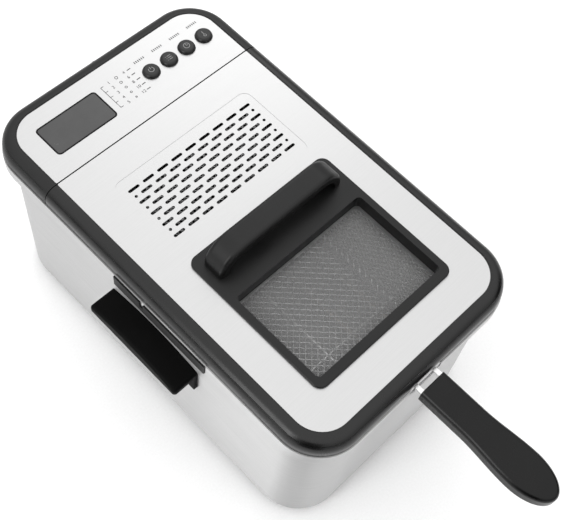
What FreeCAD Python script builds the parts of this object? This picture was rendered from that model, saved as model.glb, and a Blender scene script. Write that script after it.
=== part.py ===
import FreeCAD, Part
import math
import os
import Sketcher
from FreeCAD import Vector

# Electric deep fryer of about three litres: a sheet-steel housing with a drop-in oil pot, a control unit
# that hangs in a rear compartment with its heating element dipping into the pot, a lift-off lid with a
# window, and a wire basket.
# Frame: +Z up, the basket's grip points towards -Y, the control unit is at +Y, the feet stand on z = 0 and
# the origin is under the middle of the overall box.  Every sub-part is drawn from the top plate's front
# edge (y = 0 there) and its Placement moves it back to the common origin.

doc = FreeCAD.newDocument("DeepFryer")
sheet = doc.addObject("Spreadsheet::Sheet", "Sizes")


class Size:
    """A length that knows its value and the spreadsheet formula that gives it."""

    def __init__(self, text, value):
        self.text = text
        self.value = float(value)

    def joined(self, other, sign, value, swapped=False):
        other_text = other.text if isinstance(other, Size) else repr(other)
        first, second = (other_text, self.text) if swapped else (self.text, other_text)
        return Size(f"({first} {sign} {second})", value)

    def __add__(self, other):
        return self.joined(other, "+", self.value + number(other))

    def __sub__(self, other):
        return self.joined(other, "-", self.value - number(other))

    def __rsub__(self, other):
        return self.joined(other, "-", number(other) - self.value, swapped=True)

    def __mul__(self, other):
        return self.joined(other, "*", self.value * number(other))

    def __truediv__(self, other):
        return self.joined(other, "/", self.value / number(other))

    def __neg__(self):
        return Size(f"(0 - {self.text})", -self.value)

    __radd__ = __add__
    __rmul__ = __mul__


def number(size):
    return size.value if isinstance(size, Size) else float(size)


sheet_row = 0


def driving(alias, value, note):
    """Put one driving dimension in the spreadsheet and return it as a Size."""
    global sheet_row
    sheet_row += 1
    sheet.set(f"A{sheet_row}", note)
    sheet.set(f"B{sheet_row}", str(value))
    sheet.setAlias(f"B{sheet_row}", alias)
    return Size(f"Sizes.{alias}", value)


# ---- driving dimensions (millimetres) ----
plate_width = driving("plate_width", 214, "steel top plate, side to side")
plate_length = driving("plate_length", 376, "steel top plates together, front to back")
plate_corner = driving("plate_corner", 27, "corner radius of the top plate")
plate_gauge = driving("plate_gauge", 0.8, "thickness of the top plate")
deck_height = driving("deck_height", 200, "floor to the top plate's upper face")
seam_from_front = driving("seam_from_front", 305.7,
                          "plate's front edge to the middle of the lid's rear seam")
seam_gap = driving("seam_gap", 0.8, "gap between the lid and the control unit")
fit_gap = driving("fit_gap", 0.4, "clearance round a part that drops into an opening")
lift_gap = driving("lift_gap", 0.3, "clearance under a part that lifts off")

rim_overhang = driving("rim_overhang", 13.7, "black rim beyond the plate's edge")
rim_drop = driving("rim_drop", 17.7, "plate's upper face to the rim's lower edge")
rim_step = driving("rim_step", 0.5, "rim's top below the plate's upper face")
rim_round = driving("rim_round", 11, "rounding of the rim's upper edge")
rim_wall = driving("rim_wall", 3, "wall of the rim mouldings")
rim_ledge = driving("rim_ledge", 6, "ledge that carries the plate's edge")
groove_width = driving("groove_width", 1.6, "shadow groove between the plate and the rim")

collar_overhang = driving("collar_overhang", 14.6, "steel collar beyond the plate's edge")
collar_top_drop = driving("collar_top_drop", 18, "plate's upper face to the collar's ledge")
collar_drop = driving("collar_drop", 29, "plate's upper face to the collar's lower edge")
steel_gauge = driving("steel_gauge", 1, "thickness of the housing's sheet steel")
wall_overhang = driving("wall_overhang", 8.7, "housing wall beyond the plate's edge")
wall_corner = driving("wall_corner", 42, "corner radius of the housing wall")
wall_drop = driving("wall_drop", 189, "plate's upper face to the housing's lower edge")
base_flange = driving("base_flange", 14, "inward flange at the housing's lower edge")
base_inset = driving("base_inset", 5, "base plate inside the housing wall")
base_thickness = driving("base_thickness", 4, "thickness of the base plate")
foot_diameter = driving("foot_diameter", 22, "rubber foot")
foot_inset = driving("foot_inset", 30, "foot's centre inside the base plate's edge")

pot_width = driving("pot_width", 196, "oil pot, outside")
pot_front = driving("pot_front", 8, "plate's front edge to the oil pot")
pot_length = driving("pot_length", 282, "oil pot, outside")
pot_corner = driving("pot_corner", 30, "oil pot's corner radius")
pot_depth = driving("pot_depth", 134, "oil pot below its lip")
pot_floor_bend = driving("pot_floor_bend", 12, "bend between the oil pot's floor and walls")
pot_lip = driving("pot_lip", 6, "oil pot's flat lip")
pot_gauge = driving("pot_gauge", 1, "thickness of the oil pot")

bezel_width = driving("bezel_width", 155.6, "window bezel, side to side")
bezel_front = driving("bezel_front", 30, "plate's front edge to the bezel")
bezel_length = driving("bezel_length", 150, "window bezel, front to back")
bezel_corner = driving("bezel_corner", 8.5, "window bezel's corner radius")
bezel_rise = driving("bezel_rise", 2.5, "bezel above the plate")
window_width = driving("window_width", 142, "clear window, side to side")
window_front = driving("window_front", 38.5, "plate's front edge to the clear window")
window_length = driving("window_length", 92, "clear window, front to back")
window_corner = driving("window_corner", 4, "clear window's corner radius")
throat_wall = driving("throat_wall", 3, "wall of the bezel's throat round the window")
glass_thickness = driving("glass_thickness", 4, "window glass")
glass_lap = driving("glass_lap", 4, "glass beyond the clear window")
gasket_thickness = driving("gasket_thickness", 2, "glass gasket")

lid_handle_span = driving("lid_handle_span", 138, "lid handle across its two ends")
lid_handle_rise = driving("lid_handle_rise", 28, "lid handle above the plate")
lid_handle_width = driving("lid_handle_width", 22, "lid handle, front to back")
lid_handle_bar = driving("lid_handle_bar", 8, "thickness of the lid handle's bar")
lid_handle_bend = driving("lid_handle_bend", 24, "bend at the lid handle's ends")
lid_handle_round = driving("lid_handle_round", 4, "rounding of the lid handle's long edges")
lid_handle_from_front = driving("lid_handle_from_front", 160,
                                "plate's front edge to the lid handle's middle")

vent_front = driving("vent_front", 205, "plate's front edge to the first row of vents")
vent_row_pitch = driving("vent_row_pitch", 7, "one row of vents to the next")
vent_pitch = driving("vent_pitch", 15.75, "one vent to the next in its row")
vent_length = driving("vent_length", 11.5, "vent slot, end to end")
vent_width = driving("vent_width", 2.8, "vent slot's width")
vent_panel_margin = driving("vent_panel_margin", 13, "pressed panel beyond the rows of vents")
vent_panel_depth = driving("vent_panel_depth", 0.3, "depth of the pressed panel")

liner_drop = driving("liner_drop", 15.8, "plate's upper face to the lid liner's underside")
liner_gauge = driving("liner_gauge", 0.8, "thickness of the lid liner")
liner_rear = driving("liner_rear", 272, "plate's front edge to the liner's rear edge")
filter_thickness = driving("filter_thickness", 8, "grease filter")
bridge_side_gap = driving("bridge_side_gap", 18, "oil pot's outside to the element bracket's end")
bridge_front = driving("bridge_front", 274, "plate's front edge to the element bracket")
bridge_drop = driving("bridge_drop", 9.5, "plate's upper face to the element bracket")
bridge_gap = driving("bridge_gap", 1.7, "oil pot's rim to the element bracket above it")
element_side_gap = driving("element_side_gap", 26, "oil pot's outside to the element's outer runs")

display_width = driving("display_width", 64, "display window, side to side")
display_length = driving("display_length", 33, "display window, front to back")
display_corner = driving("display_corner", 3.5, "display window's corner radius")
display_offset = driving("display_offset", 56, "display's middle left of the centre line")
panel_row = driving("panel_row", 342.5, "plate's front edge to the row of controls")
button_diameter = driving("button_diameter", 16, "push button")
button_first = driving("button_first", 27.5, "first button right of the centre line")
button_pitch = driving("button_pitch", 20.7, "one button to the next")
button_rise = driving("button_rise", 3.2, "button's crown above the plate")
button_travel = driving("button_travel", 1, "how far a button is pressed")
board_drop = driving("board_drop", 10, "plate's upper face to the display board")
board_thickness = driving("board_thickness", 1.6, "circuit boards")
switch_height = driving("switch_height", 1.6, "push switches above the display board")
housing_depth = driving("housing_depth", 120, "control housing below the collar")
housing_width = driving("housing_width", 196, "control housing, side to side")
housing_wall = driving("housing_wall", 2.5, "wall of the control housing")
housing_rear_gap = driving("housing_rear_gap", 5, "plate's rear edge to the control housing")
gland_reach = driving("gland_reach", 0.2, "cord gland behind the rim")
gland_bore = driving("gland_bore", 3.4, "radius of the cord gland's bore")
gland_radius = driving("gland_radius", 4.6, "outer radius of the cord gland")

side_grip_front = driving("side_grip_front", 124, "plate's front edge to the side grip")
side_grip_length = driving("side_grip_length", 107, "side grip, front to back")
side_grip_reach = driving("side_grip_reach", 26, "side grip out from the wall")
side_grip_drop = driving("side_grip_drop", 67, "plate's upper face to the ends of the side grip's top")
side_grip_arch = driving("side_grip_arch", 7, "crown of the side grip's top")
side_grip_height = driving("side_grip_height", 30, "side grip's back plate at its ends")
side_grip_lip = driving("side_grip_lip", 6, "side grip's outer edge at its ends")
side_grip_wall = driving("side_grip_wall", 4, "wall of the side grip")
insert_front = driving("insert_front", 110, "plate's front edge to the collar insert")
insert_length = driving("insert_length", 108, "collar insert, front to back")
insert_thickness = driving("insert_thickness", 1.6, "collar insert")
insert_drop = driving("insert_drop", 31, "plate's upper face to the insert's lower edge")

basket_side_gap = driving("basket_side_gap", 11, "oil pot's inner side to the basket mesh")
basket_front_gap = driving("basket_front_gap", 11, "oil pot's inner front to the basket mesh")
basket_rear_gap = driving("basket_rear_gap", 29, "oil pot's inner rear to the basket mesh")
basket_corner = driving("basket_corner", 20, "basket's corner radius")
basket_rim_drop = driving("basket_rim_drop", 25, "plate's upper face to the basket's rim wire")
basket_floor_gap = driving("basket_floor_gap", 24, "oil pot's floor to the basket mesh")
mesh_thickness = driving("mesh_thickness", 1.2, "basket mesh")
basket_floor_bend = driving("basket_floor_bend", 6, "bend between the basket's floor and walls")
rim_wire = driving("rim_wire", 2, "radius of the basket's rim wire")
rib_wire = driving("rib_wire", 1.5, "radius of the basket's ribs")
element_tube = driving("element_tube", 4, "radius of the heating element's tube")
element_rise = driving("element_rise", 10, "oil pot's floor to the element's middle")

wire_drop = driving("wire_drop", 20, "plate's upper face to the handle wires' middle")
wire_pitch = driving("wire_pitch", 21.7, "one handle wire to the other")
wire_width = driving("wire_width", 4, "width of a handle wire")
wire_height = driving("wire_height", 2.5, "height of a handle wire")
wire_notch = driving("wire_notch", 36, "width of the notch that the handle wires lie in")
grip_reach = driving("grip_reach", 148, "plate's front edge to the grip's tip")
grip_root = driving("grip_root", 21, "plate's front edge to the grip's root")
grip_root_width = driving("grip_root_width", 28.6, "grip at its root")
grip_paddle_width = driving("grip_paddle_width", 35.4, "grip at its widest")
grip_thickness = driving("grip_thickness", 16, "grip's height, both halves")
grip_drop = driving("grip_drop", 23, "plate's upper face to the grip's parting line")
grip_round = driving("grip_round", 4.5, "rounding of the grip's long edges")
doc.recompute()

# ---- derived places, in the top plate's frame ----
half_plate = plate_width / 2
rear_of_all = plate_length + collar_overhang
plate_front = (grip_reach - rear_of_all) / 2
lid_rear = seam_from_front - seam_gap / 2
unit_front = seam_from_front + seam_gap / 2
plate_under = deck_height - plate_gauge
rim_top = deck_height - rim_step
rim_bottom = deck_height - rim_drop
rim_roof = plate_under - rim_wall
collar_top = deck_height - collar_top_drop
collar_bottom = deck_height - collar_drop
shell_bottom = deck_height - wall_drop
base_bottom = shell_bottom - base_thickness
half_wall = half_plate + wall_overhang
half_collar = half_plate + collar_overhang
pot_top = collar_top + lift_gap + pot_gauge
pot_rear = pot_front + pot_length
pot_floor = pot_top - pot_depth
liner_top = deck_height - liner_drop + liner_gauge
glass_top = liner_top + glass_thickness
throat_bottom = glass_top + gasket_thickness
liner_bottom = deck_height - liner_drop
bezel_top = deck_height + bezel_rise
vent_rows = 9
housing_front = unit_front + rim_wall
housing_rear = plate_length - housing_rear_gap
bridge_top = deck_height - bridge_drop
bridge_bottom = pot_top + bridge_gap
bridge_width = pot_width - bridge_side_gap * 2
element_outer = pot_width / 2 - element_side_gap
element_inner = element_outer / 2
board_top = deck_height - board_drop
gland_height = rim_bottom + gland_radius + 0.5
basket_half = pot_width / 2 - pot_gauge - basket_side_gap
basket_front = pot_front + pot_gauge + basket_front_gap
basket_rear = pot_rear - pot_gauge - basket_rear_gap
basket_rim = deck_height - basket_rim_drop
basket_floor = pot_floor + pot_gauge + basket_floor_gap
wire_height_mid = deck_height - wire_drop
grip_mid = deck_height - grip_drop


# ---- helpers ----
def bind(feature, path, size):
    """Tie a property to its spreadsheet formula."""
    if isinstance(size, Size):
        feature.setExpression(path, size.text)
    else:
        feature.setExpression(path, repr(float(size)))


def new_body(label):
    body = doc.addObject("PartDesign::Body", label)
    body.Label = label
    bind(body, "Placement.Base.y", plate_front)
    return body


def new_sketch(body, name, plane, offset):
    """A sketch on one of the body's own origin planes, moved along that plane's normal."""
    sketch = body.newObject("Sketcher::SketchObject", f"{body.Name}_{name}")
    origin_plane = [f for f in body.Origin.OriginFeatures if f.Role == plane][0]
    sketch.AttachmentSupport = [(origin_plane, "")]
    sketch.MapMode = "FlatFace"
    bind(sketch, "AttachmentOffset.Base.z", offset)
    return sketch


def dimension(sketch, kind, places, size):
    index = sketch.addConstraint(Sketcher.Constraint(kind, *places, number(size)))
    bind(sketch, f"Constraints[{index}]", size)


def draw_rectangle(sketch, left, right, low, high, low_radius, high_radius):
    """A rectangle with one radius at its two low corners and another at its two high corners."""
    x0, x1, y0, y1 = (number(v) for v in (left, right, low, high))
    a, b = number(low_radius), number(high_radius)
    axis = Vector(0, 0, 1)
    quarter = math.pi / 2
    lines = [
        (Vector(x0 + a, y0, 0), Vector(x1 - a, y0, 0)),
        (Vector(x1, y0 + a, 0), Vector(x1, y1 - b, 0)),
        (Vector(x1 - b, y1, 0), Vector(x0 + b, y1, 0)),
        (Vector(x0, y1 - b, 0), Vector(x0, y0 + a, 0)),
    ]
    corners = [
        (Vector(x1 - a, y0 + a, 0), a, -quarter),
        (Vector(x1 - b, y1 - b, 0), b, 0.0),
        (Vector(x0 + b, y1 - b, 0), b, quarter),
        (Vector(x0 + a, y0 + a, 0), a, 2 * quarter),
    ]
    side = [sketch.addGeometry(Part.LineSegment(*ends)) for ends in lines]
    arc = [sketch.addGeometry(Part.ArcOfCircle(Part.Circle(centre, axis, r), start, start + quarter))
           for centre, r, start in corners]
    for n in range(4):
        sketch.addConstraint(Sketcher.Constraint("Tangent", side[n], 2, arc[n], 1))
        sketch.addConstraint(Sketcher.Constraint("Tangent", arc[n], 2, side[(n + 1) % 4], 1))
    for n, direction in enumerate(("Horizontal", "Vertical", "Horizontal", "Vertical")):
        sketch.addConstraint(Sketcher.Constraint(direction, side[n]))
    sketch.addConstraint(Sketcher.Constraint("Equal", arc[0], arc[3]))
    sketch.addConstraint(Sketcher.Constraint("Equal", arc[1], arc[2]))
    dimension(sketch, "Radius", (arc[0],), low_radius)
    dimension(sketch, "Radius", (arc[1],), high_radius)
    dimension(sketch, "DistanceX", (-1, 1, side[3], 1), left)
    dimension(sketch, "DistanceX", (-1, 1, side[1], 1), right)
    dimension(sketch, "DistanceY", (-1, 1, side[0], 1), low)
    dimension(sketch, "DistanceY", (-1, 1, side[2], 1), high)


def draw_circle(sketch, x, y, radius):
    index = sketch.addGeometry(Part.Circle(Vector(number(x), number(y), 0), Vector(0, 0, 1),
                                           number(radius)))
    dimension(sketch, "Radius", (index,), radius)
    dimension(sketch, "DistanceX", (-1, 1, index, 3), x)
    dimension(sketch, "DistanceY", (-1, 1, index, 3), y)


def pad(body, sketch, length, reverse=False):
    feature = body.newObject("PartDesign::Pad", f"{sketch.Name}_pad")
    feature.Profile = sketch
    feature.Reversed = reverse
    bind(feature, "Length", length)
    return feature


def pocket(body, sketch, length, reverse=False):
    feature = body.newObject("PartDesign::Pocket", f"{sketch.Name}_pocket")
    feature.Profile = sketch
    feature.Reversed = reverse
    bind(feature, "Length", length)
    return feature


def slab(body, name, outline, low, high):
    """Pad a rounded rectangle (left, right, front, rear, front radius, rear radius) from z low to z high."""
    sketch = new_sketch(body, name, "XY_Plane", low)
    draw_rectangle(sketch, *outline)
    return pad(body, sketch, high - low)


def cut(body, name, outline, low, high):
    """Pocket the same kind of outline out of the body between z low and z high."""
    sketch = new_sketch(body, name, "XY_Plane", high)
    draw_rectangle(sketch, *outline)
    return pocket(body, sketch, high - low)


def drill(body, name, places, radius, low, high):
    sketch = new_sketch(body, name, "XY_Plane", high)
    for x, y in places:
        draw_circle(sketch, x, y, radius)
    return pocket(body, sketch, high - low)


def round_edges(body, name, radius, wanted):
    """Fillet the edges of the body's last feature that the test picks."""
    doc.recompute()
    base = body.Tip
    names = [f"Edge{n}" for n, edge in enumerate(base.Shape.Edges, 1) if wanted(edge)]
    feature = body.newObject("PartDesign::Fillet", f"{body.Name}_{name}")
    feature.Base = (base, names)
    bind(feature, "Radius", radius)
    return feature


def hollow_out(body, wall, open_height):
    """Shell the body's last solid to this wall, open at the flat face at this height."""
    doc.recompute()
    base = body.Tip
    faces = [f"Face{n}" for n, face in enumerate(base.Shape.Faces, 1) if level(face, open_height)]
    feature = body.newObject("PartDesign::Thickness", f"{body.Name}_shell")
    feature.Base = (base, faces)
    feature.Mode = "Skin"
    feature.Join = "Arc"
    feature.Reversed = True
    bind(feature, "Value", wall)
    return feature


def level(edge, height):
    """True for an edge that lies flat at this height."""
    box = edge.BoundBox
    return abs(box.ZMin - number(height)) < 1e-4 and abs(box.ZMax - number(height)) < 1e-4


def ring_outline(grow, front_radius, rear_radius):
    """The top plate's outline grown sideways, forwards and backwards."""
    return (-(half_plate + grow), half_plate + grow, -grow, plate_length + grow, front_radius, rear_radius)


def shape_node(label, shape):
    """A sub-part whose shape is made directly from the sheet's values."""
    feature = doc.addObject("Part::Feature", label)
    feature.Shape = shape
    feature.Label = label
    bind(feature, "Placement.Base.y", plate_front)
    return feature


def box(x0, x1, y0, y1, z0, z1):
    a, b, c, d, e, f = (number(v) for v in (x0, x1, y0, y1, z0, z1))
    return Part.makeBox(b - a, d - c, f - e, Vector(a, c, e))


def rod(start, end, radius):
    begin = Vector(*[number(v) for v in start])
    finish = Vector(*[number(v) for v in end])
    return Part.makeCylinder(number(radius), begin.distanceToPoint(finish), begin, finish - begin)


def bent_rod(points, bend, radius):
    """A round bar through the points, with the same bend radius at each inner corner."""
    corners = [Vector(*[number(v) for v in point]) for point in points]
    edges = []
    start = corners[0]
    for before, corner, after in zip(corners, corners[1:], corners[2:]):
        arriving = (corner - before).normalize()
        leaving = (after - corner).normalize()
        half_turn = arriving.getAngle(leaving) / 2
        reach = number(bend) * math.tan(half_turn)
        enter = corner - arriving * reach
        leave = corner + leaving * reach
        inward = (leaving - arriving).normalize()
        middle = corner + inward * (number(bend) * (1 / math.cos(half_turn) - 1))
        if start.distanceToPoint(enter) > 1e-6:
            edges.append(Part.LineSegment(start, enter).toShape())
        edges.append(Part.Arc(enter, middle, leave).toShape())
        start = leave
    edges.append(Part.LineSegment(start, corners[-1]).toShape())
    path = Part.Wire(edges)
    profile = Part.Wire([Part.Circle(corners[0], corners[1] - corners[0], number(radius)).toShape()])
    return path.makePipeShell([profile], True, False)


def wire_ring(left, right, front, rear, height, corner, radius):
    """A closed rounded-rectangle hoop of round wire."""
    x0, x1, y0, y1, z, r = (number(v) for v in (left, right, front, rear, height, corner))
    quarter = math.pi / 2
    centres = [(x1 - r, y0 + r, -quarter), (x1 - r, y1 - r, 0.0), (x0 + r, y1 - r, quarter),
               (x0 + r, y0 + r, math.pi)]
    arcs = [Part.ArcOfCircle(Part.Circle(Vector(x, y, z), Vector(0, 0, 1), r), a, a + quarter).toShape()
            for x, y, a in centres]
    edges = []
    for n, arc in enumerate(arcs):
        edges.append(arc)
        edges.append(Part.LineSegment(arc.Vertexes[-1].Point,
                                      arcs[(n + 1) % 4].Vertexes[0].Point).toShape())
    path = Part.Wire(edges)
    start = arcs[0].Vertexes[0].Point
    profile = Part.Wire([Part.Circle(start, Vector(1, 0, 0), number(radius)).toShape()])
    return path.makePipeShell([profile], True, False)


def screw(place, direction, head_radius, head_height, shank_radius, length):
    """A pan-head screw: its head stands against the direction, its shank runs along it."""
    at = Vector(*[number(v) for v in place])
    along = Vector(*direction)
    head = Part.makeCylinder(head_radius, head_height, at - along * head_height, along)
    shank = Part.makeCylinder(shank_radius, length, at, along)
    return head.fuse(shank).removeSplitter()


def mirrored_places(across, along):
    """The same place left and right of the centre line, for each place along the length."""
    return [(side, y) for y in along for side in (-across, across)]


# ---- housing ----
def body_shell():
    """Wrapped steel wall with a flange turned in at its lower edge."""
    body = new_body("body_shell")
    wall = (-half_wall, half_wall, -wall_overhang, plate_length + wall_overhang, wall_corner, wall_corner)
    inner = (steel_gauge - half_wall, half_wall - steel_gauge, steel_gauge - wall_overhang,
             plate_length + wall_overhang - steel_gauge, wall_corner - steel_gauge,
             wall_corner - steel_gauge)
    flange = (base_flange - half_wall, half_wall - base_flange, base_flange - wall_overhang,
              plate_length + wall_overhang - base_flange, wall_corner - base_flange,
              wall_corner - base_flange)
    ledge_under = collar_top - steel_gauge
    slab(body, "outside", wall, shell_bottom, ledge_under)
    cut(body, "inside", inner, shell_bottom + steel_gauge, ledge_under)
    cut(body, "floor", flange, shell_bottom, shell_bottom + steel_gauge)
    notch_half = wire_notch / 2
    notch = (-notch_half, notch_half, -(wall_overhang + 4), 0, 0.5, 0.5)
    cut(body, "wire_notch", notch, notch_floor, ledge_under)
    drill(body, "base_holes", base_screw_places, base_screw_radius + 0.1, shell_bottom,
          shell_bottom + steel_gauge)


def rim_collar():
    """Steel collar: a ledge round the top that carries the pot and the control unit, with a skirt outside."""
    body = new_body("rim_collar")
    inset = steel_gauge - collar_overhang
    slab(body, "outside", ring_outline(collar_overhang, collar_corner, collar_corner), collar_bottom,
         collar_top)
    cut(body, "under", ring_outline(-inset, collar_corner - steel_gauge, collar_corner - steel_gauge),
        collar_bottom, collar_top - steel_gauge)
    ledge = collar_top - steel_gauge
    pot_half = pot_width / 2 + fit_gap
    pot_hole = (-pot_half, pot_half, pot_front - fit_gap, pot_rear + fit_gap, pot_corner + fit_gap,
                pot_corner + fit_gap)
    cut(body, "pot_opening", pot_hole, ledge, collar_top)
    unit_half = housing_width / 2 + fit_gap * 3
    unit_hole = (-unit_half, unit_half, housing_front - fit_gap * 3, housing_rear + fit_gap * 3, 4, 4)
    cut(body, "unit_opening", unit_hole, ledge, collar_top)
    notch_half = wire_notch / 2
    cut(body, "wire_notch", (-notch_half, notch_half, -(collar_overhang + 4), pot_front + 2, 0.5, 0.5),
        notch_floor, collar_top)


def base_plate():
    """Plastic floor of the housing, under the flange, with rows of air slots."""
    body = new_body("base_plate")
    grow = wall_overhang - base_inset
    radius = wall_corner - base_inset
    slab(body, "floor", ring_outline(grow, radius, radius), base_bottom, shell_bottom)
    slot_half = 30
    middle = plate_length / 2
    sketch = new_sketch(body, "air_slots", "XY_Plane", shell_bottom)
    for row in range(-3, 4):
        low = middle + row * 12
        draw_rectangle(sketch, -slot_half, slot_half, low, low + 4, 1.9, 1.9)
    pocket(body, sketch, base_thickness)
    drill(body, "screw_holes", base_screw_places + foot_places, base_screw_radius + 0.1, base_bottom,
          shell_bottom)


def rubber_feet():
    """Four turned feet, each with a recess for its screw's head."""
    feet = []
    for x, y in foot_places:
        at = Vector(number(x), number(y), 0)
        foot = Part.makeCylinder(foot_diameter.value / 2, base_bottom.value, at)
        foot = foot.makeFillet(1.2, [edge for edge in foot.Edges if edge.BoundBox.ZMax < 0.01])
        foot = foot.cut(Part.makeCylinder(foot_head_radius + 0.4, foot_recess, at))
        feet.append(foot.cut(Part.makeCylinder(base_screw_radius + 0.1, base_bottom.value, at)))
    shape_node("rubber_feet", Part.makeCompound(feet))


def foot_screws():
    screws = [screw((x, y, foot_recess), (0, 0, 1), foot_head_radius, foot_recess - 0.8, base_screw_radius,
                    base_bottom.value - foot_recess + base_thickness.value + 3) for x, y in foot_places]
    shape_node("foot_screws", Part.makeCompound(screws))


def base_screws():
    screws = [screw((x, y, base_bottom), (0, 0, 1), 3.4, 2, base_screw_radius,
                    base_thickness.value + steel_gauge.value + 4) for x, y in base_screw_places]
    shape_node("base_screws", Part.makeCompound(screws))


def side_grip(label, side):
    """Carrying grip: an arched ledge with a short lip round it, on a back plate screwed to the wall."""
    body = new_body(label)
    rear = side_grip_front + side_grip_length
    end_top = deck_height - side_grip_drop
    low = end_top - side_grip_height
    sketch = new_sketch(body, "profile", "YZ_Plane", half_wall * side)
    y0, y1, z0, z1 = side_grip_front.value, rear.value, low.value, end_top.value
    crown = Vector((y0 + y1) / 2, z1 + side_grip_arch.value, 0)
    corners = [Vector(y1, z1, 0), Vector(y0, z1, 0), Vector(y0, z0, 0), Vector(y1, z0, 0)]
    top = sketch.addGeometry(Part.Arc(corners[0], crown, corners[1]))
    front, under, back = [sketch.addGeometry(Part.LineSegment(corners[n],
                                                              corners[(n + 1) % 4])) for n in (1, 2, 3)]
    for first, second in ((front, under), (under, back)):
        sketch.addConstraint(Sketcher.Constraint("Coincident", first, 2, second, 1))
    sketch.addConstraint(Sketcher.Constraint("Coincident", top, 2, front, 1))
    sketch.addConstraint(Sketcher.Constraint("Coincident", back, 2, top, 1))
    for line, direction in ((front, "Vertical"), (under, "Horizontal"), (back, "Vertical")):
        sketch.addConstraint(Sketcher.Constraint(direction, line))
    sketch.addConstraint(Sketcher.Constraint("Equal", front, back))
    dimension(sketch, "DistanceX", (-1, 1, under, 1), side_grip_front)
    dimension(sketch, "DistanceX", (-1, 1, under, 2), rear)
    dimension(sketch, "DistanceY", (-1, 1, under, 1), low)
    dimension(sketch, "DistanceY", (-1, 1, front, 1), end_top)
    crown_radius = side_grip_length * side_grip_length / (side_grip_arch * 8) + side_grip_arch / 2
    dimension(sketch, "Radius", (top,), crown_radius)
    pad(body, sketch, side_grip_reach, reverse=side < 0)
    outer = abs(half_wall.value + side_grip_reach.value)
    round_edges(body, "rounding", 3, lambda edge: edge.BoundBox.ZMax > z0 + 1 and (
        abs(abs(edge.BoundBox.XMin) - outer) < 1e-3 and abs(abs(edge.BoundBox.XMax) - outer) < 1e-3
        or abs(edge.BoundBox.XLength - side_grip_reach.value) < 1e-3))
    near = (half_wall + side_grip_wall) * side
    far = (half_wall + side_grip_reach - side_grip_wall) * side
    left, right = (near, far) if side > 0 else (far, near)
    hollow = (left, right, side_grip_front + side_grip_wall, rear - side_grip_wall, 2, 2)
    cut(body, "finger_space", hollow, low, end_top - side_grip_wall)
    beyond = (half_wall + side_grip_reach + 1) * side
    left, right = (near, beyond) if side > 0 else (beyond, near)
    open_below = (left, right, side_grip_front - 1, rear + 1, 0.5, 0.5)
    cut(body, "below_lip", open_below, low - 1, end_top - side_grip_lip)


def side_grip_screws():
    """Four screws that hold each grip, put in from inside the housing."""
    screws = []
    inside = half_wall.value - steel_gauge.value
    for side in (-1, 1):
        for y in (side_grip_front.value + 12, side_grip_front.value + side_grip_length.value - 12):
            place = (side * inside, y, deck_height.value - side_grip_drop.value - 12)
            screws.append(screw(place, (side, 0, 0), 3.5, 1.8, 1.8,
                                steel_gauge.value + side_grip_wall.value - 1))
    return screws


def grips():
    """Both grips and their screws; the screw holes are cut from the wall and the grips' inner walls."""
    side_grip("side_grip_left", -1)
    side_grip("side_grip_right", 1)
    shape_node("side_grip_screws", Part.makeCompound(side_grip_screws()))
    for label, side in (("side_grip_left", -1), ("side_grip_right", 1), ("body_shell", -1),
                        ("body_shell", 1)):
        body = doc.getObject(label)
        sketch = new_sketch(body, "screw_holes", "YZ_Plane", (half_wall - steel_gauge - 1) * side)
        for y in (side_grip_front + 12, side_grip_front + side_grip_length - 12):
            draw_circle(sketch, y, deck_height - side_grip_drop - 12, 1.9)
        pocket(body, sketch, side_grip_wall + steel_gauge + 0.5, reverse=side > 0)


def collar_insert(label, side):
    """Plastic cover over the collar's skirt at mid side, hooked under its lower edge, with a small notch."""
    body = new_body(label)
    skirt = half_collar * side
    outer = (half_collar + insert_thickness) * side
    hook = (half_collar - steel_gauge * 2) * side
    rear = insert_front + insert_length
    top = collar_top - 0.3
    low = deck_height - insert_drop
    left, right = (hook, outer) if side > 0 else (outer, hook)
    slab(body, "block", (left, right, insert_front, rear, 0.5, 0.5), low, top)
    left, right = (hook - 1, skirt) if side > 0 else (skirt, hook + 1)
    cut(body, "skirt_space", (left, right, insert_front - 1, rear + 1, 0.4, 0.4), collar_bottom, top)
    notch = rear - 36
    left, right = (skirt - 0.5, outer + 1) if side > 0 else (outer - 1, skirt + 0.5)
    cut(body, "notch", (left, right, notch, notch + 4, 0.5, 0.5), top - 6, top)


# ---- oil pot ----
def oil_pot():
    """Drawn pot with a flat lip that hangs on the collar, and a dip in its front for the handle wires."""
    body = new_body("oil_pot")
    half = pot_width / 2
    wide = (-(half + pot_lip), half + pot_lip, pot_front - pot_lip, pot_rear + pot_lip,
            pot_corner + pot_lip, pot_corner + pot_lip)
    outside = (-half, half, pot_front, pot_rear, pot_corner, pot_corner)
    inner = half - pot_gauge
    inside = (-inner, inner, pot_front + pot_gauge, pot_rear - pot_gauge, pot_corner - pot_gauge,
              pot_corner - pot_gauge)
    slab(body, "tub", outside, pot_floor, pot_top - pot_gauge)
    round_edges(body, "floor_bend", pot_floor_bend, lambda edge: level(edge, pot_floor))
    hollow_out(body, pot_gauge, pot_top - pot_gauge)
    slab(body, "lip", wide, pot_top - pot_gauge, pot_top)
    cut(body, "mouth", inside, pot_top - pot_gauge, pot_top)
    notch_half = wire_notch / 2
    notch = (-notch_half, notch_half, pot_front - pot_lip - 2, pot_front + pot_gauge + 2, 0.5, 0.5)
    cut(body, "wire_notch", notch, notch_floor, pot_top)


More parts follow.
